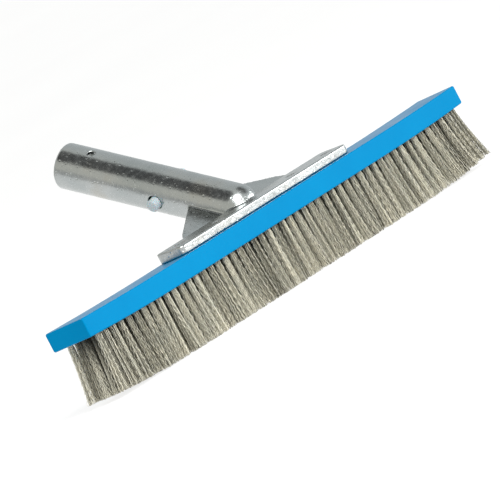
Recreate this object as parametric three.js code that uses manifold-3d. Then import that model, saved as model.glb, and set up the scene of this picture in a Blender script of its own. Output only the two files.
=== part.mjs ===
// Wall brush for a swimming pool: a long plastic block with five rows of wire tufts, a cast handle
// with a slanted pole socket screwed on top of it, and a V-shaped spring clip inside the socket whose
// two snap buttons lock the brush in a pole.
//
// Millimetres. X runs along the block, +Y points backwards to the open end of the socket, +Z is up.
// The origin is on the plane of the bristle tips, under the middle of the block.

import * as THREE from 'three';
import { mergeVertices } from 'three/addons/utils/BufferGeometryUtils.js';
import Module from 'manifold-3d';

const wasm = await Module();
wasm.setup();

// ---------------------------------------------------------------- driving dimensions

const GAP = 0.3;                     // clearance between neighbouring pieces

const BLOCK_LENGTH = 457;
const BLOCK_DEPTH = 35;
const BLOCK_THICKNESS = 14.5;        // at mid length
const BLOCK_EDGE = 0.8;              // rounding of the outer edges
const CURL_START = 120;              // the block is straight up to here, then curls up to its ends
const CURL_TOP = 1.5;                // rise of the top face at the ends
const CURL_UNDER = 2.4;              // rise of the underside at the ends

const BRISTLE_LENGTH = 42.5;
const ROW_PITCH = 6.5;
const TUFT_PITCH = 8.795;
const TUFT_ROOT = 2.8;               // half width of a tuft along the row, at its root
const TUFT_TIP = 3.8;                // and at its tip
const TUFT_DEPTH = 5.4;              // a tuft's width across the row
const ROOT_CLEAR = 0.4;              // the tufts start this far below the underside
const ROOT_BAR = 1.2;                // height of the bar that joins a row's tufts
const END_SPLAY = 9.5;               // how far the tips of the end tufts lean outwards
const SIDE_SPLAY = 1.4;              // the same for the outer rows
const SLOT_WIDTH = 1.8;
const SLOT_DEPTH = 8;
const ROOT_STRIP_RISE = 5;           // how far the joined tuft roots reach up into the slot

const PLATE_LENGTH = 203;
const PLATE_DEPTH = 24;
const PLATE_FRONT = 6.4;             // plate thickness at its front edge
const PLATE_BACK = 7.6;              // and at its back edge
const PLATE_CORNER = 4;

const SOCKET_RADIUS = 15.9;
const SOCKET_BORE = 13.4;
const SOCKET_LENGTH = 137.8;
const SOCKET_SIDES = 32;
const SOCKET_FLOOR = 12;             // where the bore ends, above the domed end's centre
const SOCKET_ANGLE = 32.2;           // degrees above the block's plane
const SOCKET_Y = 15.1;               // centre of the domed end
const SOCKET_Z = 6.65;               // the same, above the block's top face
const WING_SPAN = 66;                // half width of the webs at the plate
const WING_RISE = 28.6;              // how far up the socket the webs reach
const WING_THICKNESS = 3.2;
const WING_DROP = 1.5;               // the webs' middle plane lies this far under the socket's axis
const WING_ROOT = 8;                 // how deep the webs go down into the plate

const CLIP_TURN = 14;                // degrees that the clip is turned about the socket's axis
const BEND_Y = 18;                   // along the socket: where the bend ends and the legs begin
const BEND_RADIUS = 4;
const LEG_THICKNESS = 1.2;
const LEG_X = 9.6;                   // distance of a leg's straight end from the socket's axis
const LEG_END = 7;                   // the straight end reaches this far past the button's centre
const CLIP_WIDTH = 8;
const BUTTON_Y = 54.7;
const BUTTON_RADIUS = 4.8;
const BUTTON_TOP = 20.3;             // distance of the button's crown from the socket's axis
const COLLAR_RADIUS = 6;             // the button's collar, which rests against the bore
const COLLAR_TOP = 11.9;
const BUTTON_HOLE = 5.2;
const BUTTON_SLOT = 1.6;             // the hole's extra length, for the button's swing
const BOLT_HOLE_Y = 114.2;
const BOLT_HOLE_RADIUS = 3;

const SCREW_X = [-88, -45, 45, 88];
const SCREW_Y = -ROW_PITCH / 2;      // between two rows, so the screws miss the slots
const SCREW_HEAD = 4.1;
const SCREW_RIM = 0.4;               // straight rim above the head's cone
const SCREW_SHANK = 1.7;
const SCREW_LENGTH = 16;

const BLOCK_BASE = BRISTLE_LENGTH;
const BLOCK_TOP = BLOCK_BASE + BLOCK_THICKNESS;
const PLATE_BASE = BLOCK_TOP + GAP / 3;
const rows = [-2, -1, 0, 1, 2];
const radians = THREE.MathUtils.degToRad;

// ---------------------------------------------------------------- solids and booleans

function solid(geometry) {
  geometry.deleteAttribute('normal');
  geometry.deleteAttribute('uv');
  const merged = mergeVertices(geometry, 1e-4);
  return new wasm.Manifold(new wasm.Mesh({
    numProp: 3,
    vertProperties: new Float32Array(merged.attributes.position.array),
    triVerts: new Uint32Array(merged.index.array),
  }));
}

function geometryOf(body) {
  const mesh = body.getMesh();
  const geometry = new THREE.BufferGeometry();
  geometry.setAttribute('position', new THREE.BufferAttribute(mesh.vertProperties, 3));
  geometry.setIndex(new THREE.BufferAttribute(mesh.triVerts, 1));
  return geometry;
}

// An outline in the XZ plane, extruded along Y and centred on y.
function extrudeAlongY(shape, depth, y = 0, bevel = 0) {
  const geometry = new THREE.ExtrudeGeometry(shape, {
    depth: depth - 2 * bevel,
    bevelEnabled: bevel > 0,
    bevelSize: bevel,
    bevelThickness: bevel,
    bevelOffset: -bevel,
    bevelSegments: 2,
    curveSegments: 12,
  });
  return geometry.rotateX(Math.PI / 2).translate(0, y + depth / 2 - bevel, 0);
}

// An outline in the XY plane, extruded up from z.
function extrudeUp(shape, height, z) {
  const geometry = new THREE.ExtrudeGeometry(shape, { depth: height, bevelEnabled: false, curveSegments: 6 });
  return geometry.translate(0, 0, z);
}

function cylinder(radius, from, to, sides = 24) {
  const length = to - from;
  return new THREE.CylinderGeometry(radius, radius, length, sides).translate(0, from + length / 2, 0);
}

// ---------------------------------------------------------------- the block

function curl(x) {
  const past = Math.max(0, Math.abs(x) - CURL_START);
  return (past / (BLOCK_LENGTH / 2 - CURL_START)) ** 2;
}

function underside(x) {
  return BLOCK_BASE + CURL_UNDER * curl(x);
}

function topFace(x) {
  return BLOCK_TOP + CURL_TOP * curl(x);
}

// A strip that follows the curled block, from x = -half to half, between two heights given by functions.
function curledStrip(half, lower, upper) {
  const steps = 4;
  const xs = [-half];
  for (let i = 0; i < steps; i += 1) xs.push(-half + ((half - CURL_START) * (i + 1)) / steps);
  for (let i = 0; i <= steps; i += 1) xs.push(CURL_START + ((half - CURL_START) * i) / steps);
  const shape = new THREE.Shape();
  xs.forEach((x, i) => (i ? shape.lineTo(x, lower(x)) : shape.moveTo(x, lower(x))));
  xs.reverse().forEach((x) => shape.lineTo(x, upper(x)));
  return shape;
}

function rowCount(row) {
  return row % 2 === 0 ? 51 : 50;
}

function rowHalf(row) {
  return ((rowCount(row) - 1) / 2) * TUFT_PITCH;
}

function brushBlock() {
  let block = solid(extrudeAlongY(curledStrip(BLOCK_LENGTH / 2, underside, topFace), BLOCK_DEPTH, 0, BLOCK_EDGE));
  for (const row of rows) {
    const slot = curledStrip(rowHalf(row) + 2.5, (x) => underside(x) - 2, (x) => underside(x) + SLOT_DEPTH);
    block = block.subtract(solid(extrudeAlongY(slot, SLOT_WIDTH, row * ROW_PITCH)));
  }
  for (const x of SCREW_X) {
    const pilot = cylinder(SCREW_SHANK + GAP, 0, 20, 16).rotateX(Math.PI / 2);
    block = block.subtract(solid(pilot.translate(x, SCREW_Y, BLOCK_TOP - 10.5)));
  }
  return geometryOf(block);
}

// ---------------------------------------------------------------- tufts and their anchors

// How far the tips of a tuft at x lean outwards: only the last few tufts at each end do.
function lean(x) {
  return Math.sign(x) * END_SPLAY * (Math.abs(x) / rowHalf(0)) ** 6;
}

function tipHeight(x) {
  return underside(x) - BRISTLE_LENGTH + lean(x) ** 2 / (2 * BRISTLE_LENGTH);
}

// A comb: a thin bar that follows the block's underside, with one tapered tuft after another below it.
function combOutline(row) {
  const half = rowHalf(row);
  const barTop = (x) => underside(x) - ROOT_CLEAR;
  const barBase = (x) => underside(x) - ROOT_CLEAR - ROOT_BAR;
  const shape = new THREE.Shape();
  shape.moveTo(-half - TUFT_ROOT, barTop(half));
  for (let i = 0; i < rowCount(row); i += 1) {
    const x = -half + i * TUFT_PITCH;
    shape.lineTo(x - TUFT_ROOT, barBase(x));
    shape.lineTo(x + lean(x) - TUFT_TIP, tipHeight(x));
    shape.lineTo(x + lean(x) + TUFT_TIP, tipHeight(x));
    shape.lineTo(x + TUFT_ROOT, barBase(x));
  }
  for (const share of [1, 0.85, 0.7, 0.55, -0.55, -0.7, -0.85]) {
    shape.lineTo(share * (half + TUFT_ROOT), barTop(share * (half + TUFT_ROOT)));
  }
  return shape;
}

function tuftRow(row) {
  const sideways = (-SIDE_SPLAY * (row / 2)) / BRISTLE_LENGTH;
  const flare = new THREE.Matrix4().set(
    1, 0, 0, 0,
    0, 1, sideways, row * ROW_PITCH - sideways * BLOCK_BASE,
    0, 0, 1, 0,
    0, 0, 0, 1,
  );
  const comb = extrudeAlongY(combOutline(row), TUFT_DEPTH).applyMatrix4(flare);
  const inSlot = (x) => underside(x) + ROOT_STRIP_RISE;
  const inBar = (x) => underside(x) - ROOT_CLEAR - ROOT_BAR / 2;
  const strip = curledStrip(rowHalf(row) + 1.5, inBar, inSlot);
  return geometryOf(solid(comb).add(solid(extrudeAlongY(strip, SLOT_WIDTH - 2 * GAP, row * ROW_PITCH))));
}

function anchorWire(row) {
  const lower = (x) => underside(x) + ROOT_STRIP_RISE + GAP;
  const upper = (x) => underside(x) + SLOT_DEPTH - GAP;
  return extrudeAlongY(curledStrip(rowHalf(row) + 1.5, lower, upper), SLOT_WIDTH - 2 * GAP, row * ROW_PITCH);
}

// ---------------------------------------------------------------- the cast handle

// Local frame of the socket: +Y along its axis from the closed end, X as in the part, Z to its upper side.
function placeOnSocket(geometry) {
  return geometry.rotateX(radians(SOCKET_ANGLE)).translate(0, SOCKET_Y, BLOCK_TOP + SOCKET_Z);
}

function basePlate() {
  const halfX = PLATE_LENGTH / 2;
  const halfY = PLATE_DEPTH / 2;
  const r = PLATE_CORNER;
  const outline = new THREE.Shape();
  outline.moveTo(-halfX + r, -halfY);
  outline.absarc(halfX - r, -halfY + r, r, -Math.PI / 2, 0);
  outline.absarc(halfX - r, halfY - r, r, 0, Math.PI / 2);
  outline.absarc(-halfX + r, halfY - r, r, Math.PI / 2, Math.PI);
  outline.absarc(-halfX + r, -halfY + r, r, Math.PI, Math.PI * 1.5);
  const section = new THREE.Shape();
  section.moveTo(-halfY - 1, -1);
  section.lineTo(halfY + 1, -1);
  section.lineTo(halfY + 1, PLATE_BACK - 1.2);
  section.lineTo(halfY - 1, PLATE_BACK);
  section.lineTo(-halfY + 0.8, PLATE_FRONT);
  section.lineTo(-halfY - 1, PLATE_FRONT - 1.6);
  const profile = new THREE.ExtrudeGeometry(section, { depth: PLATE_LENGTH + 2, bevelEnabled: false });
  profile.rotateX(Math.PI / 2).rotateZ(Math.PI / 2).translate(-halfX - 1, 0, PLATE_BASE);
  return solid(extrudeUp(outline, PLATE_BACK + 2, PLATE_BASE)).intersect(solid(profile));
}

// The tube with its domed lower end, a half sphere round the point where the axis meets the plate's top.
function socketOuter() {
  const steps = 8;
  const points = [];
  for (let i = 0; i <= steps; i += 1) {
    const angle = (i / steps) * (Math.PI / 2);
    points.push(new THREE.Vector2(SOCKET_RADIUS * Math.sin(angle), -SOCKET_RADIUS * Math.cos(angle)));
  }
  points[0].x = 0;
  points.push(new THREE.Vector2(SOCKET_RADIUS, SOCKET_LENGTH - 1.2));
  points.push(new THREE.Vector2(SOCKET_RADIUS - 0.8, SOCKET_LENGTH));
  points.push(new THREE.Vector2(0, SOCKET_LENGTH));
  return solid(placeOnSocket(new THREE.LatheGeometry(points, SOCKET_SIDES)));
}

// What the block's top face cuts off the dome and the webs.
function underPlate() {
  const width = 3 * PLATE_LENGTH;
  const below = new THREE.BoxGeometry(width, width, width);
  return solid(below.translate(0, 0, PLATE_BASE - width / 2));
}

function wings() {
  const shape = new THREE.Shape();
  const foot = 0.6;
  shape.moveTo(-WING_SPAN, -WING_ROOT);
  shape.lineTo(WING_SPAN, -WING_ROOT);
  shape.lineTo(WING_SPAN, foot - 1);
  shape.quadraticCurveTo(WING_SPAN - 5, foot + 1, WING_SPAN - 9, foot + 5);
  shape.lineTo(SOCKET_RADIUS - 1, WING_RISE);
  shape.lineTo(-SOCKET_RADIUS + 1, WING_RISE);
  shape.lineTo(-WING_SPAN + 9, foot + 5);
  shape.quadraticCurveTo(-WING_SPAN + 5, foot + 1, -WING_SPAN, foot - 1);
  return solid(placeOnSocket(extrudeUp(shape, WING_THICKNESS, -WING_DROP - WING_THICKNESS / 2)));
}

// The two side holes for the buttons, one solid right across the socket.
function buttonHoles() {
  const hole = new THREE.Shape();
  hole.absarc(0, BUTTON_Y, BUTTON_HOLE, Math.PI, 2 * Math.PI);
  hole.absarc(0, BUTTON_Y + BUTTON_SLOT, BUTTON_HOLE, 0, Math.PI);
  const across = 2 * SOCKET_RADIUS + 6;
  return extrudeUp(hole, across, -across / 2).rotateY(Math.PI / 2);
}

function boltHole() {
  const reach = SOCKET_RADIUS + 3;
  return cylinder(BOLT_HOLE_RADIUS, -reach, reach, 20).rotateX(Math.PI / 2).translate(0, BOLT_HOLE_Y, 0);
}

function turnedOnSocket(geometry) {
  return placeOnSocket(geometry.rotateY(-radians(CLIP_TURN)));
}

function screwTop() {
  return PLATE_BASE + PLATE_FRONT + 0.1;
}

function countersink(x) {
  const wide = SCREW_HEAD + GAP;
  const narrow = SCREW_SHANK + 2 * GAP;
  const cone = wide - narrow;
  const points = [
    new THREE.Vector2(0, 3),
    new THREE.Vector2(wide, 3),
    new THREE.Vector2(wide, -SCREW_RIM),
    new THREE.Vector2(narrow, -SCREW_RIM - cone),
    new THREE.Vector2(narrow, -12),
    new THREE.Vector2(0, -12),
  ].reverse();
  return solid(new THREE.LatheGeometry(points, 12).rotateX(Math.PI / 2).translate(x, SCREW_Y, screwTop()));
}

function handleCasting() {
  let body = basePlate().add(wings()).add(socketOuter()).subtract(underPlate());
  body = body.subtract(solid(placeOnSocket(cylinder(SOCKET_BORE, SOCKET_FLOOR, SOCKET_LENGTH + 5, SOCKET_SIDES))));
  body = body.subtract(solid(turnedOnSocket(buttonHoles())));
  body = body.subtract(solid(turnedOnSocket(boltHole())));
  for (const x of SCREW_X) body = body.subtract(countersink(x));
  return geometryOf(body);
}

// A countersunk wood screw with a cross recess, its head just below the plate's top face.
function plateScrew(x) {
  const cone = SCREW_HEAD - SCREW_SHANK;
  const points = [
    new THREE.Vector2(0, -SCREW_LENGTH),
    new THREE.Vector2(SCREW_SHANK, -SCREW_LENGTH + 3),
    new THREE.Vector2(SCREW_SHANK, -SCREW_RIM - cone),
    new THREE.Vector2(SCREW_HEAD, -SCREW_RIM),
    new THREE.Vector2(SCREW_HEAD, 0),
    new THREE.Vector2(0, 0),
  ];
  let body = solid(new THREE.LatheGeometry(points, 12).rotateX(Math.PI / 2));
  body = body.subtract(solid(new THREE.BoxGeometry(4.6, 1, 3)));
  body = body.subtract(solid(new THREE.BoxGeometry(1, 4.6, 3)));
  return geometryOf(body).translate(x, SCREW_Y, screwTop());
}

// ---------------------------------------------------------------- the spring clip and its buttons

// In the clip's own frame the legs spread along X, +Y runs to the socket's open end, and Z is the width.
function clipBend() {
  const shape = new THREE.Shape();
  const outer = BEND_RADIUS + LEG_THICKNESS / 2;
  const inner = BEND_RADIUS - LEG_THICKNESS / 2;
  shape.absarc(0, BEND_Y - GAP, outer, Math.PI, 2 * Math.PI, false);
  shape.absarc(0, BEND_Y - GAP, inner, 2 * Math.PI, Math.PI, true);
  return turnedOnSocket(extrudeUp(shape, CLIP_WIDTH, -CLIP_WIDTH / 2));
}

// A strip that slopes outwards from the bend and runs straight under the button.
function clipLeg(side) {
  const half = LEG_THICKNESS / 2;
  const knee = BUTTON_Y - LEG_END;
  const shape = new THREE.Shape();
  shape.moveTo(side * (BEND_RADIUS - half), BEND_Y);
  shape.lineTo(side * (LEG_X - half), knee);
  shape.lineTo(side * (LEG_X - half), BUTTON_Y + LEG_END);
  shape.lineTo(side * (LEG_X + half), BUTTON_Y + LEG_END);
  shape.lineTo(side * (LEG_X + half), knee);
  shape.lineTo(side * (BEND_RADIUS + half), BEND_Y);
  return turnedOnSocket(extrudeUp(shape, CLIP_WIDTH, -CLIP_WIDTH / 2));
}

// A domed button with a collar that rests inside the socket's wall and a flat back on the leg.
function snapButton(side) {
  const back = LEG_X + LEG_THICKNESS / 2 + GAP;
  const dome = 3.4;
  const points = [new THREE.Vector2(0, back)];
  points.push(new THREE.Vector2(COLLAR_RADIUS, back));
  points.push(new THREE.Vector2(COLLAR_RADIUS, COLLAR_TOP - 0.5));
  points.push(new THREE.Vector2(COLLAR_RADIUS - 0.6, COLLAR_TOP));
  points.push(new THREE.Vector2(BUTTON_RADIUS, COLLAR_TOP));
  for (let i = 0; i <= 4; i += 1) {
    const angle = (i / 4) * (Math.PI / 2);
    points.push(new THREE.Vector2(BUTTON_RADIUS * Math.cos(angle), BUTTON_TOP - dome + dome * Math.sin(angle)));
  }
  const geometry = new THREE.LatheGeometry(points, 16).rotateZ(-Math.PI / 2);
  if (side < 0) geometry.rotateY(Math.PI);
  return turnedOnSocket(geometry.translate(0, BUTTON_Y, 0));
}

// ---------------------------------------------------------------- the assembly

function finish(color, roughness, metalness) {
  return new THREE.MeshStandardMaterial({ color, roughness, metalness });
}

const bluePlastic = finish(0x01a2e0, 0.4, 0);
const castMetal = finish(0xb4b8b6, 0.35, 1);
const wire = finish(0xb9b4a2, 0.4, 0.9);
const anchorMetal = finish(0x9a9a98, 0.35, 1);
const screwMetal = finish(0xc2c4c6, 0.25, 1);
const clipSteel = finish(0xc9cccd, 0.3, 1);
const nylon = finish(0xd3e0e6, 0.45, 0);

const brush = new THREE.Group();

function addPiece(name, geometry, material) {
  const mesh = new THREE.Mesh(geometry, material);
  mesh.name = name;
  brush.add(mesh);
}

addPiece('brush_block', brushBlock(), bluePlastic);
for (const row of rows) {
  addPiece(`tuft_row_${row + 3}`, tuftRow(row), wire);
  addPiece(`anchor_wire_${row + 3}`, anchorWire(row), anchorMetal);
}
addPiece('handle_casting', handleCasting(), castMetal);
SCREW_X.forEach((x, i) => addPiece(`plate_screw_${i + 1}`, plateScrew(x), screwMetal));
addPiece('clip_bend', clipBend(), clipSteel);
for (const [name, side] of [['left', -1], ['right', 1]]) {
  addPiece(`clip_leg_${name}`, clipLeg(side), clipSteel);
  addPiece(`snap_button_${name}`, snapButton(side), nylon);
}

export default brush;
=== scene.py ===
"""A swimming-pool wall brush: blue plastic block, crimped wire tufts, cast handle with a pole socket,
and a spring clip with two snap buttons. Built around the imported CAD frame, in metres."""

import math

import bmesh
import bpy
import numpy as np
from mathutils import Matrix, Vector, noise


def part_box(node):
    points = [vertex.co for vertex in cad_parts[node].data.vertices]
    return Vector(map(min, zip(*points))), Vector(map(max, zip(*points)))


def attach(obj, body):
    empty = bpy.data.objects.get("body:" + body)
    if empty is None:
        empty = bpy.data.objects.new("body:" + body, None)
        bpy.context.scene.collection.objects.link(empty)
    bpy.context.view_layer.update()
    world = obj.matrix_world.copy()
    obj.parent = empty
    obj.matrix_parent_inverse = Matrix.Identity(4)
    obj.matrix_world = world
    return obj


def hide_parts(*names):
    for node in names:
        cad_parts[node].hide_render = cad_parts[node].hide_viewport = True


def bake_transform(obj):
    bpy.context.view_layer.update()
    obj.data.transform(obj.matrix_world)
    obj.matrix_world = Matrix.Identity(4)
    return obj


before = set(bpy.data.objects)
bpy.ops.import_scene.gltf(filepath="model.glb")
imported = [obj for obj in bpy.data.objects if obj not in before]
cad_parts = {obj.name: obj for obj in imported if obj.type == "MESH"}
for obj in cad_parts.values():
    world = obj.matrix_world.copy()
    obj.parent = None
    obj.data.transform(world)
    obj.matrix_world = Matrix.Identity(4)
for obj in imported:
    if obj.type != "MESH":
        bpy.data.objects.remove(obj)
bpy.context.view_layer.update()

MM = 0.001

# ------------------------------------------------------------------ sizes, from the frame and the design

BLOCK_LOW, BLOCK_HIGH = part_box("brush_block")
BLOCK_LENGTH = BLOCK_HIGH.x - BLOCK_LOW.x
BLOCK_DEPTH = BLOCK_HIGH.y - BLOCK_LOW.y
BLOCK_BASE = BLOCK_LOW.z                  # underside at mid length
BLOCK_THICKNESS = 14.5 * MM
BLOCK_TOP = BLOCK_BASE + BLOCK_THICKNESS
BLOCK_ROUNDING = 1.1 * MM
CURL_START = 120 * MM                     # from the middle of the block
CURL_TOP = 1.5 * MM                       # rise of the top and the underside at the block's ends
CURL_UNDER = 2.4 * MM

BRISTLE_LENGTH = BLOCK_BASE
ROW_PITCH = 6.5 * MM
TUFT_PITCH = 8.795 * MM
SPLAY_LEFT = 4.5 * MM                     # how far the tips of the end tufts lean outwards
SPLAY_RIGHT = 12 * MM
RISE_LEFT = 1.8 * MM                      # how much higher the tips of the end tufts are
RISE_RIGHT = 3.2 * MM
SIDE_SPLAY = 1.4 * MM                     # how far the outer rows' tips lean to the front and back
LEFT_INSET = 2.5 * MM                     # how far the rows' left end is pulled in
END_TUFT_INSET = 1.5 * MM                 # and the last tuft of the longer rows, at both ends
TUFT_HOLE = 2.35 * MM                     # radius
TUFT_HOLE_DEPTH = 7 * MM
LONG_ROW_TUFTS = 51                       # the rows between them have one tuft fewer
TUFTS_PER_PIECE = 17

PLATE_LENGTH = 203 * MM
PLATE_DEPTH = 24 * MM
PLATE_FRONT = 6.4 * MM                    # thickness at the front and the back edge
PLATE_BACK = 7.6 * MM
PLATE_BASE = BLOCK_TOP + 0.1 * MM
PLATE_CORNER = 4 * MM

SOCKET_ANGLE = math.radians(32.2)
SOCKET_RADIUS = 15.9 * MM
SOCKET_BORE = 13.4 * MM
SOCKET_LENGTH = 137.8 * MM
SOCKET_FLOOR = 12 * MM                    # where the bore ends, above the domed end's centre
SOCKET_FOOT = Vector((0, 15.1 * MM, BLOCK_TOP + 6.65 * MM))
SOCKET = Matrix.Translation(SOCKET_FOOT) @ Matrix.Rotation(SOCKET_ANGLE, 4, "X")
WING_SPAN = 66 * MM                       # from the socket's axis to the web's tip
WING_RISE = 28.6 * MM
WING_THICKNESS = 3.2 * MM
WING_DROP = 1.5 * MM                      # the webs' middle plane lies this far under the socket's axis
WING_ROOT = 8 * MM                        # how far the webs reach down past the dome's centre

CLIP_TURN = math.radians(14)
CLIP = SOCKET @ Matrix.Rotation(-CLIP_TURN, 4, "Y")
BEND_Y = 18 * MM
BEND_RADIUS = 4 * MM
LEG_THICKNESS = 1.2 * MM
LEG_X = 9.6 * MM
LEG_END = 7 * MM                          # straight part of the leg on each side of the button
CLIP_WIDTH = 8 * MM
BUTTON_Y = 54.7 * MM
BUTTON_RADIUS = 4.4 * MM
BUTTON_TOP = 21 * MM
BUTTON_HOLE = 4.9 * MM
BUTTON_SLOT = 1.2 * MM                    # how much longer the button's hole is than wide
COLLAR_RADIUS = 6 * MM
COLLAR_TOP = 11.9 * MM
BOLT_HOLE_Y = 114.2 * MM
BOLT_HOLE_RADIUS = 3 * MM

SCREW_NODES = [f"plate_screw_{i}" for i in (1, 2, 3, 4)]
SCREW_HEAD = 4.1 * MM                     # radii of the head and of the shank
SCREW_SHANK = 1.7 * MM

ROWS = [-2, -1, 0, 1, 2]
SIDES = (("left", -1), ("right", 1))


# ------------------------------------------------------------------ camera

CAMERA_AZIMUTH = math.radians(50)         # from the front, round towards the left end
CAMERA_ELEVATION = math.radians(4.03)
CAMERA_ROLL = math.radians(-27.57)        # the block's right end is at the upper right
CAMERA_DISTANCE = 5.1755
FOCAL_TO_WIDTH = 15.486                   # focal length over the picture's width
AIM_LEFT = 4.3 * MM                       # the picture's centre, from the middle of the block's top face
AIM_DOWN = 28.0 * MM


def make_camera():
    """A long lens from far off, looking a little down on the brush from its front left."""
    az, el = CAMERA_AZIMUTH, CAMERA_ELEVATION
    forward = Vector((math.sin(az) * math.cos(el), math.cos(az) * math.cos(el), -math.sin(el)))
    level_right = Vector((math.cos(az), -math.sin(az), 0))
    level_up = level_right.cross(forward)
    right = level_right * math.cos(CAMERA_ROLL) + level_up * math.sin(CAMERA_ROLL)
    up = right.cross(forward)
    aim = Vector((0, 0, BLOCK_TOP)) - right * AIM_LEFT - up * AIM_DOWN
    data = bpy.data.cameras.new("camera")
    data.sensor_width = 36
    data.lens = FOCAL_TO_WIDTH * data.sensor_width
    data.clip_start = 0.1
    data.clip_end = 200
    camera = bpy.data.objects.new("camera", data)
    bpy.context.scene.collection.objects.link(camera)
    axes = Matrix((right, up, -forward)).transposed()
    camera.matrix_world = Matrix.Translation(aim - forward * CAMERA_DISTANCE) @ axes.to_4x4()
    bpy.context.scene.camera = camera


# ------------------------------------------------------------------ mesh helpers

def add_mesh(name, vertices, faces, smooth=True):
    mesh = bpy.data.meshes.new(name)
    mesh.from_pydata([tuple(v) for v in vertices], [], faces)
    mesh.validate()
    piece = bpy.data.objects.new(name, mesh)
    bpy.context.scene.collection.objects.link(piece)
    if smooth:
        mesh.shade_smooth()
    return piece


def recalculate(piece):
    bm = bmesh.new()
    bm.from_mesh(piece.data)
    bmesh.ops.recalc_face_normals(bm, faces=bm.faces)
    bm.to_mesh(piece.data)
    bm.free()


def apply_modifiers(piece):
    graph = bpy.context.evaluated_depsgraph_get()
    mesh = bpy.data.meshes.new_from_object(piece.evaluated_get(graph))
    old = piece.data
    piece.modifiers.clear()
    piece.data = mesh
    bpy.data.meshes.remove(old)


def lathe(name, profile, sides, matrix):
    """Turns (radius, height) points round the local Y axis. The profile starts and ends on the axis."""
    vertices, rings = [], []
    for radius, height in profile:
        if radius < 1e-9:
            rings.append([len(vertices)])
            vertices.append(matrix @ Vector((0, height, 0)))
            continue
        ring = []
        for i in range(sides):
            angle = 2 * math.pi * i / sides
            ring.append(len(vertices))
            vertices.append(matrix @ Vector((radius * math.cos(angle), height, radius * math.sin(angle))))
        rings.append(ring)
    faces = []
    for a, b in zip(rings, rings[1:]):
        for i in range(sides):
            j = (i + 1) % sides
            if len(a) == 1:
                faces.append((a[0], b[j], b[i]))
            elif len(b) == 1:
                faces.append((a[i], a[j], b[0]))
            else:
                faces.append((a[i], a[j], b[j], b[i]))
    piece = add_mesh(name, vertices, faces)
    recalculate(piece)
    return piece


def prism(name, outline, low, high, matrix):
    """Extrudes an XY outline from z = low to z = high, in the matrix's frame."""
    count = len(outline)
    vertices = [matrix @ Vector((x, y, z)) for z in (low, high) for x, y in outline]
    faces = [tuple(range(count))[::-1], tuple(range(count, 2 * count))]
    for i in range(count):
        j = (i + 1) % count
        faces.append((i, j, count + j, count + i))
    piece = add_mesh(name, vertices, faces, smooth=False)
    recalculate(piece)
    return piece


def arc(cx, cy, radius, start, end, steps):
    """Points on an arc about (cx, cy), from start to end in degrees."""
    points = []
    for i in range(steps + 1):
        angle = math.radians(start + (end - start) * i / steps)
        points.append((cx + radius * math.cos(angle), cy + radius * math.sin(angle)))
    return points


def mesh_from_arrays(name, vertices, quads, triangles):
    """Builds a large mesh at once, for the wires."""
    mesh = bpy.data.meshes.new(name)
    corners = np.concatenate([quads.ravel(), triangles.ravel()]).astype(np.int32)
    sizes = np.concatenate([np.full(len(quads), 4), np.full(len(triangles), 3)])
    starts = np.concatenate([[0], np.cumsum(sizes)[:-1]]).astype(np.int32)
    mesh.vertices.add(len(vertices))
    mesh.vertices.foreach_set("co", vertices.astype(np.float32).ravel())
    mesh.loops.add(len(corners))
    mesh.loops.foreach_set("vertex_index", corners)
    mesh.polygons.add(len(sizes))
    mesh.polygons.foreach_set("loop_start", starts)
    mesh.update(calc_edges=True)
    mesh.validate()
    mesh.shade_smooth()
    piece = bpy.data.objects.new(name, mesh)
    bpy.context.scene.collection.objects.link(piece)
    return piece


def smooth_by_angle(piece, degrees):
    """Shades a piece smooth, but keeps the edges sharper than this angle."""
    mesh = piece.data
    mesh.shade_smooth()
    bm = bmesh.new()
    bm.from_mesh(mesh)
    limit = math.radians(degrees)
    for edge in bm.edges:
        edge.smooth = len(edge.link_faces) == 2 and edge.calc_face_angle(0.0) < limit
    bm.to_mesh(mesh)
    bm.free()


def curve(start, pull, end, t):
    """A point on a curve from start to end, drawn towards pull."""
    return (1 - t) ** 2 * start + 2 * t * (1 - t) * pull + t * t * end


def boolean(piece, cutter, operation):
    """Joins the cutter to the piece, or takes it away, and removes the cutter."""
    modifier = piece.modifiers.new("boolean", "BOOLEAN")
    modifier.operation = operation
    modifier.solver = "EXACT"
    modifier.object = cutter
    apply_modifiers(piece)
    bpy.data.objects.remove(cutter)


def join_meshes(name, pieces):
    bm = bmesh.new()
    for piece in pieces:
        bm.from_mesh(piece.data)
    mesh = bpy.data.meshes.new(name)
    bm.to_mesh(mesh)
    bm.free()
    joined = bpy.data.objects.new(name, mesh)
    bpy.context.scene.collection.objects.link(joined)
    for piece in pieces:
        bpy.data.objects.remove(piece)
    return joined


# ------------------------------------------------------------------ materials

MIX_FACTOR, MIX_A, MIX_B = 0, 6, 7        # a colour mix node's sockets
MIX_RESULT = 2

PLASTIC_BLUES = ((0.0, 0.205, 0.445), (0.0, 0.225, 0.475))
PLASTIC_GLOSS_FACING = 0.02
PLASTIC_GLOSS_GRAZING = 0.8
CAST_TONES = ((0.38, 0.41, 0.41), (0.45, 0.47, 0.465), (0.43, 0.42, 0.38))
CAST_SPECK = (0.62, 0.65, 0.65)
# the ramp's dark end serves both the wires' random tone and the painted shade at the inner rows' roots
WIRE_TONES_AND_SHADE = ((0.06, 0.055, 0.04), (0.72, 0.69, 0.58), (1.0, 0.97, 0.86))
WIRE_PATCHES = ((0.85, 0.86, 0.84), (1.0, 0.99, 0.95))
NYLON_TONES = ((0.42, 0.49, 0.53), (0.47, 0.54, 0.58))
FLOOR_TONES = ((0.33, 0.33, 0.33), (0.35, 0.35, 0.35))
FLOOR_GLOW = 0.78


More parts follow.
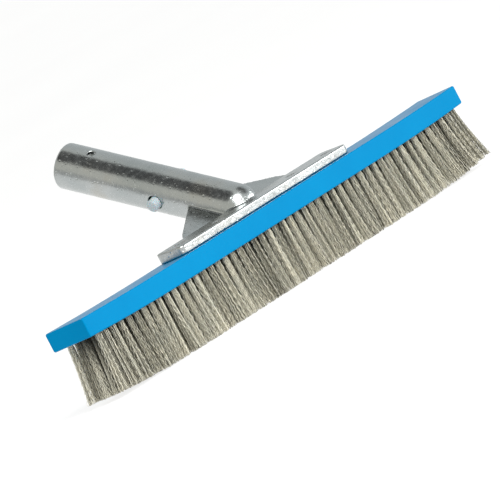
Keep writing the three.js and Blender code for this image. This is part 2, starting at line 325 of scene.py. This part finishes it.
class Nodes:
    """A material's node tree, with one Principled shader and object coordinates at hand."""

    def __init__(self, name):
        self.material = bpy.data.materials.new(name)
        self.material.use_nodes = True
        self.tree = self.material.node_tree
        self.shader = self.tree.nodes["Principled BSDF"]
        self.coords = self.tree.nodes.new("ShaderNodeTexCoord").outputs["Object"]

    def add(self, kind, **settings):
        node = self.tree.nodes.new(kind)
        for key, value in settings.items():
            setattr(node, key, value)
        return node

    def link(self, a, b):
        self.tree.links.new(a, b)

    def noise(self, scale, detail=4, roughness=0.55):
        node = self.add("ShaderNodeTexNoise")
        node.inputs["Scale"].default_value = scale
        node.inputs["Detail"].default_value = detail
        node.inputs["Roughness"].default_value = roughness
        self.link(self.coords, node.inputs["Vector"])
        return node.outputs["Fac"]

    def ramp(self, source, places, colours):
        node = self.add("ShaderNodeValToRGB")
        elements = node.color_ramp.elements
        while len(elements) < len(colours):
            elements.new(0.5)
        for element, place, colour in zip(elements, places, colours):
            element.position = place
            element.color = (*colour, 1)
        self.link(source, node.inputs["Fac"])
        return node.outputs["Color"]

    def span(self, source, low, high, to_low, to_high):
        node = self.add("ShaderNodeMapRange")
        values = (low, high, to_low, to_high)
        for key, value in zip(("From Min", "From Max", "To Min", "To Max"), values):
            node.inputs[key].default_value = value
        self.link(source, node.inputs["Value"])
        return node.outputs["Result"]

    def mix(self, factor, a, b, blend="MIX"):
        node = self.add("ShaderNodeMix", data_type="RGBA", blend_type=blend)
        for place, value in ((MIX_FACTOR, factor), (MIX_A, a), (MIX_B, b)):
            socket = node.inputs[place]
            if isinstance(value, (int, float)):
                socket.default_value = value
            elif isinstance(value, tuple):
                socket.default_value = (*value, 1)
            else:
                self.link(value, socket)
        return node.outputs[MIX_RESULT]

    def bump(self, heights, distance):
        """Chains one bump after another: heights is a list of (height socket, share of distance)."""
        normal = None
        for height, share in heights:
            node = self.add("ShaderNodeBump")
            node.inputs["Strength"].default_value = 1.0
            node.inputs["Distance"].default_value = distance * share
            self.link(height, node.inputs["Height"])
            if normal is not None:
                self.link(normal, node.inputs["Normal"])
            normal = node.outputs["Normal"]
        self.link(normal, self.shader.inputs["Normal"])


def blue_plastic():
    """Blue moulded plastic, with a sheen where it is seen at a flat angle."""
    n = Nodes("blue_plastic")
    colour = n.ramp(n.noise(18, 3), (0.3, 0.7), PLASTIC_BLUES)
    n.link(colour, n.shader.inputs["Base Color"])
    n.link(n.span(n.noise(60, 4), 0.3, 0.7, 0.3, 0.42), n.shader.inputs["Roughness"])
    grazing = n.add("ShaderNodeLayerWeight").outputs["Facing"]
    gloss = n.span(grazing, 0.7, 0.9, PLASTIC_GLOSS_FACING, PLASTIC_GLOSS_GRAZING)
    n.link(gloss, n.shader.inputs["Specular IOR Level"])
    n.bump([(n.noise(900, 2), 1.0), (n.noise(45, 2), 4.0)], 0.02 * MM)
    return n.material


def cast_aluminium():
    """Tumbled cast metal: cloudy greys with bright specks, fine pits and a slight waviness."""
    n = Nodes("cast_aluminium")
    colour = n.ramp(n.noise(40, 5), (0.25, 0.55, 0.8), CAST_TONES)
    grain = n.noise(900, 3, 0.6)
    specks = n.span(grain, 0.6, 0.72, 0.0, 1.0)
    n.link(n.mix(specks, colour, CAST_SPECK), n.shader.inputs["Base Color"])
    n.shader.inputs["Metallic"].default_value = 1.0
    n.link(n.span(n.noise(300, 4), 0.3, 0.7, 0.16, 0.3), n.shader.inputs["Roughness"])
    pits = n.add("ShaderNodeTexVoronoi")
    pits.inputs["Scale"].default_value = 300
    n.link(n.coords, pits.inputs["Vector"])
    pit_height = n.span(pits.outputs["Distance"], 0.04, 0.26, 0.0, 1.0)
    n.bump([(pit_height, 4.0), (grain, 1.4), (n.noise(110, 3), 3.0)], 0.035 * MM)
    return n.material


def crimped_wire():
    """Warm grey wire. The mesh's shade attribute holds each wire's own random tone, times a painted shade
    that darkens the inner rows' roots.
    """
    n = Nodes("crimped_wire")
    shade = n.add("ShaderNodeAttribute", attribute_name="shade")
    # the shade attribute carries random tone and the painted shade at the inner rows' roots
    tone = n.ramp(shade.outputs["Fac"], (0.0, 0.5, 0.8), WIRE_TONES_AND_SHADE)
    patch = n.ramp(n.noise(90, 3), (0.35, 0.65), WIRE_PATCHES)
    n.link(n.mix(1.0, tone, patch, "MULTIPLY"), n.shader.inputs["Base Color"])
    n.shader.inputs["Metallic"].default_value = 0.45
    n.link(n.span(n.noise(500, 2), 0.3, 0.7, 0.32, 0.5), n.shader.inputs["Roughness"])
    return n.material


def satin_steel(name, tone, roughness):
    """Plain bright steel for the small parts, in streaks of two tones."""
    n = Nodes(name)
    streak = n.noise(260, 3)
    low = tuple(0.86 * c for c in tone)
    n.link(n.ramp(streak, (0.3, 0.7), (low, tone)), n.shader.inputs["Base Color"])
    n.shader.inputs["Metallic"].default_value = 1.0
    n.link(n.span(streak, 0.3, 0.7, roughness, roughness + 0.12), n.shader.inputs["Roughness"])
    n.bump([(n.noise(1200, 2), 1.0)], 0.01 * MM)
    return n.material


def white_nylon():
    """Pale bluish nylon, a little translucent."""
    n = Nodes("white_nylon")
    n.link(n.ramp(n.noise(120, 3), (0.3, 0.7), NYLON_TONES), n.shader.inputs["Base Color"])
    n.link(n.span(n.noise(300, 3), 0.3, 0.7, 0.35, 0.5), n.shader.inputs["Roughness"])
    n.shader.inputs["Subsurface Weight"].default_value = 0.25
    n.shader.inputs["Subsurface Scale"].default_value = 1.5 * MM
    n.bump([(n.noise(700, 2), 1.0)], 0.015 * MM)
    return n.material


# ------------------------------------------------------------------ the block

def curl(x):
    """0 in the middle of the block, rising to 1 at its ends."""
    past = max(0.0, abs(x) - CURL_START)
    return (past / (BLOCK_LENGTH / 2 - CURL_START)) ** 2


def underside(x):
    return BLOCK_BASE + CURL_UNDER * curl(x)


def row_count(row):
    return LONG_ROW_TUFTS if row % 2 == 0 else LONG_ROW_TUFTS - 1


def row_half(row):
    return (row_count(row) - 1) / 2 * TUFT_PITCH


def tuft_places(row):
    """Where a row's tufts are along X. Every other row is offset by half a pitch."""
    shrink = 1 - LEFT_INSET / (2 * row_half(0))
    shift = LEFT_INSET / 2
    places = [(-row_half(row) + i * TUFT_PITCH) * shrink + shift for i in range(row_count(row))]
    if row % 2 == 0:
        places[0] += END_TUFT_INSET
        places[-1] -= END_TUFT_INSET
    return places


def block_section():
    """The block's rounded cross-section, as YZ points above its underside."""
    section = []
    r = BLOCK_ROUNDING
    inner_y = BLOCK_DEPTH / 2 - r
    high = BLOCK_THICKNESS - r
    for y, z, start in ((inner_y, r, -90), (inner_y, high, 0), (-inner_y, high, 90), (-inner_y, r, 180)):
        section += arc(y, z, r, start, start + 90, 4)
    return section


def block_rings():
    """The X places of the block's cross-sections, and how far each is drawn in for the rounded ends."""
    steps = 64
    r = BLOCK_ROUNDING
    half_x = BLOCK_LENGTH / 2
    stations = [-half_x + BLOCK_LENGTH * i / steps for i in range(steps + 1)]
    inset = [(-half_x, r), (-half_x + 0.3 * r, 0.3 * r), (-half_x + r, 0.0)]
    return inset + [(x, 0.0) for x in stations[1:-1]] + [(-x, shrink) for x, shrink in reversed(inset)]


def block_bar():
    section, rings = block_section(), block_rings()
    count = len(section)
    half_y = BLOCK_DEPTH / 2
    vertices, faces = [], []
    for x, shrink in rings:
        share_y = (half_y - shrink) / half_y
        share_z = (BLOCK_THICKNESS - 2 * shrink) / BLOCK_THICKNESS
        for y, z in section:
            height = shrink + z * share_z
            rise = CURL_UNDER + (CURL_TOP - CURL_UNDER) * z / BLOCK_THICKNESS
            vertices.append((x, y * share_y, BLOCK_BASE + height + rise * curl(x)))
    for k in range(len(rings) - 1):
        for i in range(count):
            j = (i + 1) % count
            a, b = k * count, (k + 1) * count
            faces.append((a + i, b + i, b + j, a + j))
    faces.append(tuple(range(count)))
    faces.append(tuple(range((len(rings) - 1) * count, len(rings) * count))[::-1])
    block = add_mesh("block_moulding", vertices, faces)
    recalculate(block)
    return block


def tuft_hole_cutters():
    below = 2 * MM
    hole = [(0, TUFT_HOLE_DEPTH), (TUFT_HOLE, TUFT_HOLE_DEPTH), (TUFT_HOLE, -below), (0, -below)]
    cutters = []
    for row in ROWS:
        for x in tuft_places(row):
            place = Matrix.Translation((x, row * ROW_PITCH, underside(x)))
            cutters.append(lathe("tuft_hole", hole, 14, place @ Matrix.Rotation(math.pi / 2, 4, "X")))
    return join_meshes("tuft_holes", cutters)


def make_block(material):
    """A rounded rectangular bar, curled up at its ends, with a drilled hole for each tuft."""
    block = block_bar()
    boolean(block, tuft_hole_cutters(), "DIFFERENCE")
    normals = block.modifiers.new("normals", "WEIGHTED_NORMAL")
    normals.keep_sharp = True
    smooth_by_angle(block, 35)
    block.data.materials.clear()
    block.data.materials.append(material)
    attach(block, "brush")
    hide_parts("brush_block")
    return block


# ------------------------------------------------------------------ wire tufts

WIRES_PER_TUFT = 52
WIRE_RADIUS = 0.2 * MM
WIRE_STEPS = 30
WIRE_SIDES = (0.3, 2.394, 4.489)          # angles of the wire's three corners
WIRE_DEPTH = 1.5 * MM                     # how far the wires go up into their hole
CRIMP_LENGTH = 5.6 * MM
CRIMP_HEIGHT = 0.42 * MM
TIP_SPREAD = np.array([3.5, 3.4]) * MM    # radius of a tuft at its tip, along X and Y
TIP_JITTER = 0.5 * MM
TUFT_LEAN_X = 1.2 * MM                    # how far whole tufts lean by chance
TUFT_LEAN_Y = 0.4 * MM
UNEVEN_TIPS = 0.45 * MM
GOLDEN_ANGLE = 2.39996
FULL_TURN = 6.283
TUFT_TONE_SPREAD = 0.04                   # how much the tone differs from tuft to tuft, and wire to wire
WIRE_TONE_SPREAD = 0.28
OUTER_ROOT_SHADE = 1.0                    # painted shade: how bright a wire is painted at its root, against its tip
# painted shade: the inner rows' wires are painted nearly black at their roots, standing in for the shade
# between the tufts
INNER_ROOT_SHADE = 0.0
SHADED_SHARE = 0.7                        # the share of a wire's length over which its painted root shade fades
THIRDS = ("left", "middle", "right")


def end_lean(x):
    """How far the tips lean outwards, for an array of root places."""
    splay = np.where(x < 0, -SPLAY_LEFT, SPLAY_RIGHT)
    return splay * (np.abs(x) / row_half(0)) ** 4


def tuft_wires(rng, x, row):
    """Root points and tip points of one tuft's wires."""
    count = WIRES_PER_TUFT
    radius = np.sqrt((np.arange(count) + rng.random(count)) / count)
    angle = np.arange(count) * GOLDEN_ANGLE + rng.random() * FULL_TURN
    disc = np.stack([radius * np.cos(angle), radius * np.sin(angle)], 1)
    root = np.zeros((count, 3))
    root[:, :2] = disc * (TUFT_HOLE - WIRE_RADIUS)
    root[:, 0] += x
    root[:, 1] += row * ROW_PITCH
    root[:, 2] = underside(x) + WIRE_DEPTH
    tip = np.zeros((count, 3))
    tip[:, :2] = disc * TIP_SPREAD + rng.normal(0, TIP_JITTER, (count, 2))
    lean = end_lean(x + tip[:, 0])
    tip[:, 0] += x + lean + rng.normal(0, TUFT_LEAN_X)
    tip[:, 1] += row * ROW_PITCH + SIDE_SPLAY * row / 2 + rng.normal(0, TUFT_LEAN_Y)
    rise = (RISE_LEFT if x < 0 else RISE_RIGHT) * (abs(x) / row_half(0)) ** 8
    tip[:, 2] = underside(x) - BRISTLE_LENGTH + rise + np.abs(rng.normal(0, UNEVEN_TIPS, count))
    return root, tip


def row_part_wires(rng, row, part):
    """Root points, tip points and tones of the wires in a third of a row."""
    roots, tips, tones = [], [], []
    first = TUFTS_PER_PIECE * part
    for x in tuft_places(row)[first:first + TUFTS_PER_PIECE]:
        root, tip = tuft_wires(rng, x, row)
        tuft_tone = TUFT_TONE_SPREAD * rng.normal()
        wire_tones = WIRE_TONE_SPREAD * rng.normal(size=WIRES_PER_TUFT)
        roots.append(root)
        tips.append(tip)
        tones.append(np.clip(0.5 + tuft_tone + wire_tones, 0, 1))
    return np.concatenate(roots), np.concatenate(tips), np.concatenate(tones)


def crimped_lines(rng, root, tip, t):
    """Each wire's centreline, bowed outwards from root to tip, with a crimp wave in its own direction."""
    count = len(root)
    bow = 0.5 * t + 0.5 * t ** 1.8
    line = root[:, None, :] * (1 - t) + tip[:, None, :] * t
    line[..., :2] = root[:, None, :2] * (1 - bow) + tip[:, None, :2] * bow
    phase = rng.random((count, 1)) * 2 * math.pi
    heading = rng.random(count) * 2 * math.pi
    wave = np.sin(t[..., 0] * BRISTLE_LENGTH / CRIMP_LENGTH * 2 * math.pi + phase)
    wave *= CRIMP_HEIGHT * np.minimum(1, 0.3 + 3 * t[..., 0])
    side = np.stack([np.cos(heading), np.sin(heading)], 1)
    line[..., :2] += wave[..., None] * side[:, None, :]
    return line


def wire_faces(count):
    """Quads along three-sided wires, and the triangles that close their ends."""
    per_wire = (WIRE_STEPS + 1) * 3
    faces = []
    for k in range(WIRE_STEPS):
        for i in range(3):
            j = (i + 1) % 3
            faces.append((3 * k + i, 3 * k + 3 + i, 3 * k + 3 + j, 3 * k + j))
    ends = np.array([(0, 1, 2), (per_wire - 1, per_wire - 2, per_wire - 3)])
    first = (np.arange(count) * per_wire)[:, None, None]
    quads = (np.array(faces)[None] + first).reshape(-1, 4)
    caps = (ends[None] + first).reshape(-1, 3)
    return quads, caps


def set_shade(piece, row, tone, t):
    """Writes each wire's tone, times a painted shade, to the shade attribute. The inner rows' wires are
    painted dark at their roots, standing in for the shade in the gaps between the tufts.
    """
    shade = piece.data.attributes.new("shade", "FLOAT", "POINT")
    root_shade = OUTER_ROOT_SHADE if abs(row) == 2 else INNER_ROOT_SHADE
    # painted shade: darkens each wire from its root, fading out towards its tip
    painted_shade_factor = np.clip(root_shade + (1 - root_shade) * t[0, :, 0] / SHADED_SHARE, 0, 1)
    values = tone[:, None, None] * painted_shade_factor[None, :, None] * np.ones((1, 1, 3))
    shade.data.foreach_set("value", values.ravel().astype(np.float32))


def make_tufts(row, part, material):
    """A third of a row of tufts, as thin three-sided wires with a crimp wave."""
    rng = np.random.default_rng(1000 + 10 * row + part)
    root, tip, tone = row_part_wires(rng, row, part)
    t = np.linspace(0, 1, WIRE_STEPS + 1)[None, :, None]
    line = crimped_lines(rng, root, tip, t)
    ring = np.array([[math.cos(a), math.sin(a), 0] for a in WIRE_SIDES]) * WIRE_RADIUS
    vertices = (line[:, :, None, :] + ring[None, None]).reshape(-1, 3)
    quads, caps = wire_faces(len(root))
    piece = mesh_from_arrays(f"wire_tufts_{row + 3}_{THIRDS[part]}", vertices, quads, caps)
    set_shade(piece, row, tone, t)
    piece.data.materials.append(material)
    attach(piece, "brush")
    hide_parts(f"tuft_row_{row + 3}")
    return piece


# ------------------------------------------------------------------ the cast handle

CASTING_VOXEL = 0.6 * MM
CASTING_WAVES = ((160, 1.0), (420, 0.5))  # frequency and share of each wave in the casting's skin
CASTING_WAVE_HEIGHT = 0.05 * MM


def plate_solid():
    """The plate with rounded corners, a little thicker at its back edge."""
    half_x, half_y, r = PLATE_LENGTH / 2, PLATE_DEPTH / 2, PLATE_CORNER
    outline = arc(half_x - r, half_y - r, r, 0, 90, 8)
    outline += arc(-half_x + r, half_y - r, r, 90, 180, 8)
    outline += arc(-half_x + r, -half_y + r, r, 180, 270, 8)
    outline += arc(half_x - r, -half_y + r, r, 270, 360, 8)
    plate = prism("plate", outline, PLATE_BASE, PLATE_BASE + PLATE_BACK, Matrix.Identity(4))
    for vertex in plate.data.vertices:
        if vertex.co.z > PLATE_BASE + 1 * MM:
            share = (vertex.co.y + half_y) / PLATE_DEPTH
            vertex.co.z = PLATE_BASE + PLATE_FRONT + (PLATE_BACK - PLATE_FRONT) * share
    return plate


def wing_solid(side):
    """One web, from inside the socket's wall out to the plate, with a small curved foot."""
    inner = SOCKET_RADIUS - 1.5 * MM
    foot = 0.6 * MM
    outline = [(inner, -WING_ROOT), (WING_SPAN, -WING_ROOT), (WING_SPAN, foot - 1 * MM)]
    for i in range(1, 7):
        x = curve(WING_SPAN, WING_SPAN - 5 * MM, WING_SPAN - 9 * MM, i / 6)
        y = curve(foot - 1 * MM, foot + 1 * MM, foot + 5 * MM, i / 6)
        outline.append((x, y))
    outline.append((inner, WING_RISE))
    outline = [(side * x, y) for x, y in outline]
    low, high = -WING_DROP - WING_THICKNESS / 2, -WING_DROP + WING_THICKNESS / 2
    return prism("wing", outline, low, high, SOCKET)


def socket_solid():
    """The tube with its domed lower end, open at the top."""
    dome_steps = 18
    rim_height, rim_depth = 1.2 * MM, 0.8 * MM
    profile = []
    for i in range(dome_steps + 1):
        angle = i / dome_steps * math.pi / 2
        profile.append((SOCKET_RADIUS * math.sin(angle), -SOCKET_RADIUS * math.cos(angle)))
    profile += [(SOCKET_RADIUS, SOCKET_LENGTH - rim_height), (SOCKET_RADIUS - rim_depth, SOCKET_LENGTH)]
    profile += [(SOCKET_BORE, SOCKET_LENGTH), (SOCKET_BORE, SOCKET_FLOOR), (0, SOCKET_FLOOR)]
    return lathe("socket", profile, 160, SOCKET)


def below_plate():
    """All the space under the plate's underside."""
    reach = 2 * PLATE_LENGTH
    square = [(-reach, -reach), (reach, -reach), (reach, reach), (-reach, reach)]
    return prism("below_plate", square, PLATE_BASE - reach, PLATE_BASE, Matrix.Identity(4))


def hole_cutters():
    """The buttons' holes, the bolt's hole across them, and the screws' countersinks."""
    reach = SOCKET_RADIUS + 4 * MM
    slot = arc(0, BUTTON_Y, BUTTON_HOLE, 180, 360, 16)
    slot += arc(0, BUTTON_Y + BUTTON_SLOT, BUTTON_HOLE, 0, 180, 16)
    cutters = [prism("button_hole", slot, -reach, reach, CLIP @ Matrix.Rotation(math.pi / 2, 4, "Y"))]
    bolt = arc(0, BOLT_HOLE_Y, BOLT_HOLE_RADIUS, 0, 354, 31)
    cutters.append(prism("bolt_hole", bolt, -reach, reach, CLIP))
    for node in SCREW_NODES:
        cutters.append(screw_shape("countersink", node, 0.3 * MM, 2 * MM))
    return cutters


def make_casting(material):
    """Plate, socket and wings joined, drilled, and melted into one skin with soft corners."""
    cast = plate_solid()
    for extra in (socket_solid(), wing_solid(-1), wing_solid(1)):
        boolean(cast, extra, "UNION")
    for cutter in [below_plate(), *hole_cutters()]:
        boolean(cast, cutter, "DIFFERENCE")
    cast.name = "handle_cast_body"
    remesh = cast.modifiers.new("remesh", "REMESH")
    remesh.mode = "VOXEL"
    remesh.voxel_size = CASTING_VOXEL
    soften = cast.modifiers.new("soften", "SMOOTH")
    soften.factor = 0.5
    soften.iterations = 5
    apply_modifiers(cast)
    true_up_socket(cast)
    cast.data.shade_smooth()
    cast.data.materials.clear()
    cast.data.materials.append(material)
    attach(cast, "brush")
    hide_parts("handle_casting")
    return cast


def casting_wave(point):
    return sum(share * noise.noise(point * frequency) for frequency, share in CASTING_WAVES)


def true_up_socket(piece):
    """Puts the socket's wall back on its cylinders, and adds the slight waviness of a casting."""
    mesh = piece.data
    co = np.zeros(len(mesh.vertices) * 3)
    mesh.vertices.foreach_get("co", co)
    co = co.reshape(-1, 3)
    inverse = np.array(SOCKET.inverted())
    local = co @ inverse[:3, :3].T + inverse[:3, 3]
    radius = np.hypot(local[:, 0], local[:, 2])
    reach = 0.3 * MM
    for target in (SOCKET_RADIUS, SOCKET_BORE):
        near = (np.abs(radius - target) < reach) & (local[:, 1] > SOCKET_FLOOR)
        near &= local[:, 1] < SOCKET_LENGTH - 1.6 * MM
        local[near, 0] *= target / radius[near]
        local[near, 2] *= target / radius[near]
    forward = np.array(SOCKET)
    co = local @ forward[:3, :3].T + forward[:3, 3]
    mesh.vertices.foreach_set("co", co.ravel())
    mesh.update()
    normals = np.zeros(len(mesh.vertices) * 3)
    mesh.vertices.foreach_get("normal", normals)
    normals = normals.reshape(-1, 3)
    wave = np.array([casting_wave(Vector(p)) for p in co])
    co += normals * (wave * CASTING_WAVE_HEIGHT)[:, None]
    mesh.vertices.foreach_set("co", co.ravel())
    mesh.update()


# ------------------------------------------------------------------ screws

def screw_top(node):
    """The middle of a CAD screw's top face."""
    low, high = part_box(node)
    return Vector(((low.x + high.x) / 2, (low.y + high.y) / 2, high.z))


def screw_shape(name, node, clearance, above):
    """A countersunk screw's outline, or the hole for it, in place of a CAD screw."""
    low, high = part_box(node)
    head = SCREW_HEAD + clearance
    shank = SCREW_SHANK + 2 * clearance
    cone = head - shank
    rim = 0.4 * MM
    length = high.z - low.z
    profile = [(0, above), (head - 0.15 * MM, above), (head, above - 0.15 * MM), (head, -rim)]
    profile += [(shank, -rim - cone), (shank, -length + 3 * MM), (0, -length)]
    place = Matrix.Translation(screw_top(node))
    return lathe(name, profile, 48, place @ Matrix.Rotation(math.pi / 2, 4, "X"))


def make_screw(node, material):
    """A countersunk screw with a cross recess. Each screw is turned differently."""
    screw = screw_shape(f"{node}_body", node, 0.0, 0.0)
    degrees = 20 + 37 * int(node[-1])
    turn = Matrix.Translation(screw_top(node)) @ Matrix.Rotation(math.radians(degrees), 4, "Z")
    long, short, depth = 2.3 * MM, 0.45 * MM, 1.6 * MM
    for quarter in (0, 90):
        bar = [(-long, -short), (long, -short), (long, short), (-long, short)]
        frame_of_bar = turn @ Matrix.Rotation(math.radians(quarter), 4, "Z")
        boolean(screw, prism("recess", bar, -depth, 1 * MM, frame_of_bar), "DIFFERENCE")
    smooth_by_angle(screw, 40)
    screw.data.materials.clear()
    screw.data.materials.append(material)
    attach(screw, "brush")
    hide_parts(node)
    return screw


# ------------------------------------------------------------------ the spring clip

def clip_line(side):
    """Centreline of one half of the clip: quarter bend, sloping leg, straight end, in the clip's frame."""
    points = []
    for i in range(13):
        angle = math.radians(-90 + 90 * i / 12)
        points.append((BEND_RADIUS * math.cos(angle), BEND_Y + BEND_RADIUS * math.sin(angle)))
    knee = BUTTON_Y - LEG_END
    for i in range(1, 25):
        t = i / 24
        ease = t * t * (3 - 2 * t)
        x = BEND_RADIUS + (LEG_X - BEND_RADIUS) * (0.7 * t + 0.3 * ease)
        points.append((x, BEND_Y + (knee - BEND_Y) * t))
    for i in range(1, 9):
        points.append((LEG_X, knee + 2 * LEG_END * i / 8))
    return [(side * x, y) for x, y in points]


def make_clip_half(name, side, material):
    """A rounded strip along the centreline, with a quarter bend at the hinge."""
    line = clip_line(side)
    half_w, half_t = CLIP_WIDTH / 2, LEG_THICKNESS / 2
    r = 0.4 * MM
    section = []
    for sx, sz, start in ((1, 1, 0), (-1, 1, 90), (-1, -1, 180), (1, -1, 270)):
        section += arc(sx * (half_t - r), sz * (half_w - r), r, start, start + 90, 3)
    vertices, faces = [], []
    for i, (x, y) in enumerate(line):
        before, after = line[max(i - 1, 0)], line[min(i + 1, len(line) - 1)]
        along = Vector((after[0] - before[0], after[1] - before[1])).normalized()
        if i == 0:
            along = Vector((side, 0))
        across = Vector((along.y, -along.x))
        for a, z in section:
            vertices.append(CLIP @ Vector((x + across.x * a, y + across.y * a, z)))
    count = len(section)
    for k in range(len(line) - 1):
        for i in range(count):
            j = (i + 1) % count
            faces.append((k * count + i, k * count + j, (k + 1) * count + j, (k + 1) * count + i))
    faces.append(tuple(range(count))[::-1])
    last = (len(line) - 1) * count
    faces.append(tuple(range(last, last + count)))
    piece = add_mesh(f"spring_clip_{name}", vertices, faces)
    recalculate(piece)
    smooth_by_angle(piece, 40)
    piece.data.materials.append(material)
    start = CLIP @ Vector((side * BEND_RADIUS, BEND_Y - 4 * MM, 0))
    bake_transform(piece)
    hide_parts(f"clip_leg_{name}", "clip_bend")
    return piece


def make_button(name, side, material):
    """A crowned cylinder on a collar, which sits on the clip's leg."""
    back = LEG_X + LEG_THICKNESS / 2 + 0.05 * MM
    rounding, crown = 0.8 * MM, 0.35 * MM
    profile = [(0, back), (COLLAR_RADIUS - 0.3 * MM, back), (COLLAR_RADIUS, back + 0.3 * MM)]
    profile += [(COLLAR_RADIUS, COLLAR_TOP - 0.5 * MM), (COLLAR_RADIUS - 0.2 * MM, COLLAR_TOP - 0.15 * MM)]
    profile += [(COLLAR_RADIUS - 0.6 * MM, COLLAR_TOP), (BUTTON_RADIUS + 0.15 * MM, COLLAR_TOP)]
    profile += [(BUTTON_RADIUS, COLLAR_TOP + 0.2 * MM)]
    profile += arc(BUTTON_RADIUS - rounding, BUTTON_TOP - crown - rounding, rounding, 0, 80, 6)
    edge = profile[-1][0]
    for i in range(1, 8):
        radius = edge * (1 - i / 8)
        profile.append((radius, BUTTON_TOP - crown * (radius / edge) ** 2))
    profile.append((0, BUTTON_TOP))
    place = CLIP @ Matrix.Translation((0, BUTTON_Y, 0)) @ Matrix.Rotation(-side * math.pi / 2, 4, "Z")
    piece = lathe(f"nylon_button_{name}", profile, 64, place)
    smooth_by_angle(piece, 50)
    piece.data.materials.append(material)
    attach(piece, f"{name}_clip_arm")
    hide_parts(f"snap_button_{name}")
    return piece


# ------------------------------------------------------------------ floor, light and sky

SKY_LEFT = (0.80, 0.78, 0.71)
SKY_RIGHT = (0.66, 0.70, 0.72)
# Round grey patches: azimuth, elevation, radius of the edge and of the core in degrees, and grey level.
# Azimuth 0 is behind the brush and 90 right of it.
DARK_CEILING = (-90, 71, 29, 20, 0.1)
DARK_FRONT = (127, 42, 24, 12, 0.15)
DIM_CORNER = (-52, 9, 14, 6, 0.5)


def make_floor():
    """A wide pale floor, which glows a little so that it stays white under the brush."""
    size = 60
    corners = [(-size, -size, 0), (size, -size, 0), (size, size, 0), (-size, size, 0)]
    floor = add_mesh("floor", corners, [(0, 1, 2, 3)])
    n = Nodes("pale_floor")
    n.link(n.ramp(n.noise(2, 2), (0.3, 0.7), FLOOR_TONES), n.shader.inputs["Base Color"])
    n.shader.inputs["Roughness"].default_value = 1.0
    n.shader.inputs["Specular IOR Level"].default_value = 0.0
    n.shader.inputs["Emission Color"].default_value = (1, 1, 1, 1)
    n.shader.inputs["Emission Strength"].default_value = FLOOR_GLOW
    floor.data.materials.append(n.material)


def add_softbox(name, azimuth, elevation, distance, width, height, power):
    """A large area light, aimed at the brush. Azimuth 0 is at the front and 90 at the left end."""
    az, el = math.radians(azimuth), math.radians(elevation)
    towards = Vector((-math.sin(az) * math.cos(el), -math.cos(az) * math.cos(el), math.sin(el)))
    data = bpy.data.lights.new(name, "AREA")
    data.shape = "RECTANGLE"
    data.size = width
    data.size_y = height
    data.energy = power
    light = bpy.data.objects.new(name, data)
    bpy.context.scene.collection.objects.link(light)
    light.location = Vector((0, 0, 0.08)) + towards * distance
    light.rotation_mode = "QUATERNION"
    light.rotation_quaternion = towards.to_track_quat("Z", "Y")


def sky_patch(tree, coords, patch, base):
    """Fades the sky to a grey level inside a round patch."""
    azimuth, elevation, edge, core, inside = patch
    az, el = math.radians(azimuth), math.radians(elevation)
    towards = (math.sin(az) * math.cos(el), math.cos(az) * math.cos(el), math.sin(el))
    dot = tree.nodes.new("ShaderNodeVectorMath")
    dot.operation = "DOT_PRODUCT"
    dot.inputs[1].default_value = towards
    tree.links.new(coords.outputs["Generated"], dot.inputs[0])
    fade = tree.nodes.new("ShaderNodeMapRange")
    fade.interpolation_type = "SMOOTHSTEP"
    fade.inputs["From Min"].default_value = math.cos(math.radians(edge))
    fade.inputs["From Max"].default_value = math.cos(math.radians(core))
    tree.links.new(dot.outputs["Value"], fade.inputs["Value"])
    mix = tree.nodes.new("ShaderNodeMix")
    mix.data_type = "RGBA"
    tree.links.new(fade.outputs["Result"], mix.inputs[MIX_FACTOR])
    tree.links.new(base, mix.inputs[MIX_A])
    mix.inputs[MIX_B].default_value = (inside, inside, inside, 1)
    return mix.outputs[MIX_RESULT]


def make_sky():
    """A pale studio sky, warmer on the left, with darker patches that the casting reflects."""
    world = bpy.data.worlds.new("studio")
    bpy.context.scene.world = world
    world.use_nodes = True
    tree = world.node_tree
    coords = tree.nodes.new("ShaderNodeTexCoord")
    split = tree.nodes.new("ShaderNodeSeparateXYZ")
    ramp = tree.nodes.new("ShaderNodeValToRGB")
    side = tree.nodes.new("ShaderNodeMapRange")
    side.inputs["From Min"].default_value = -1
    tree.links.new(coords.outputs["Generated"], split.inputs["Vector"])
    tree.links.new(split.outputs["X"], side.inputs["Value"])
    tree.links.new(side.outputs["Result"], ramp.inputs["Fac"])
    left, right = ramp.color_ramp.elements
    left.color = (*SKY_LEFT, 1)
    right.color = (*SKY_RIGHT, 1)
    colour = ramp.outputs["Color"]
    for patch in (DARK_CEILING, DARK_FRONT, DIM_CORNER):
        colour = sky_patch(tree, coords, patch, colour)
    tree.links.new(colour, tree.nodes["Background"].inputs["Color"])


def make_light():
    add_softbox("key_left", azimuth=22, elevation=34, distance=2.4, width=1.5, height=1.5, power=46)
    add_softbox("panel_right", azimuth=-50, elevation=5.5, distance=2.6, width=2.2, height=0.5, power=22)
    make_sky()
    view = bpy.context.scene.view_settings
    view.view_transform = "Standard"


# ------------------------------------------------------------------ build

make_camera()
steel = satin_steel("clip_steel", (0.62, 0.63, 0.64), 0.25)
screw_steel = satin_steel("screw_steel", (0.66, 0.67, 0.68), 0.22)
anchor_steel = satin_steel("anchor_steel", (0.5, 0.5, 0.49), 0.3)
wire = crimped_wire()
nylon = white_nylon()

make_block(blue_plastic())
for row in ROWS:
    for part in (0, 1, 2):
        make_tufts(row, part, wire)
    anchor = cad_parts[f"anchor_wire_{row + 3}"]
    anchor.data.materials.clear()
    anchor.data.materials.append(anchor_steel)
make_casting(cast_aluminium())
for node in SCREW_NODES:
    make_screw(node, screw_steel)
for name, side in SIDES:
    make_clip_half(name, side, steel)
    make_button(name, side, nylon)
make_floor()
make_light()
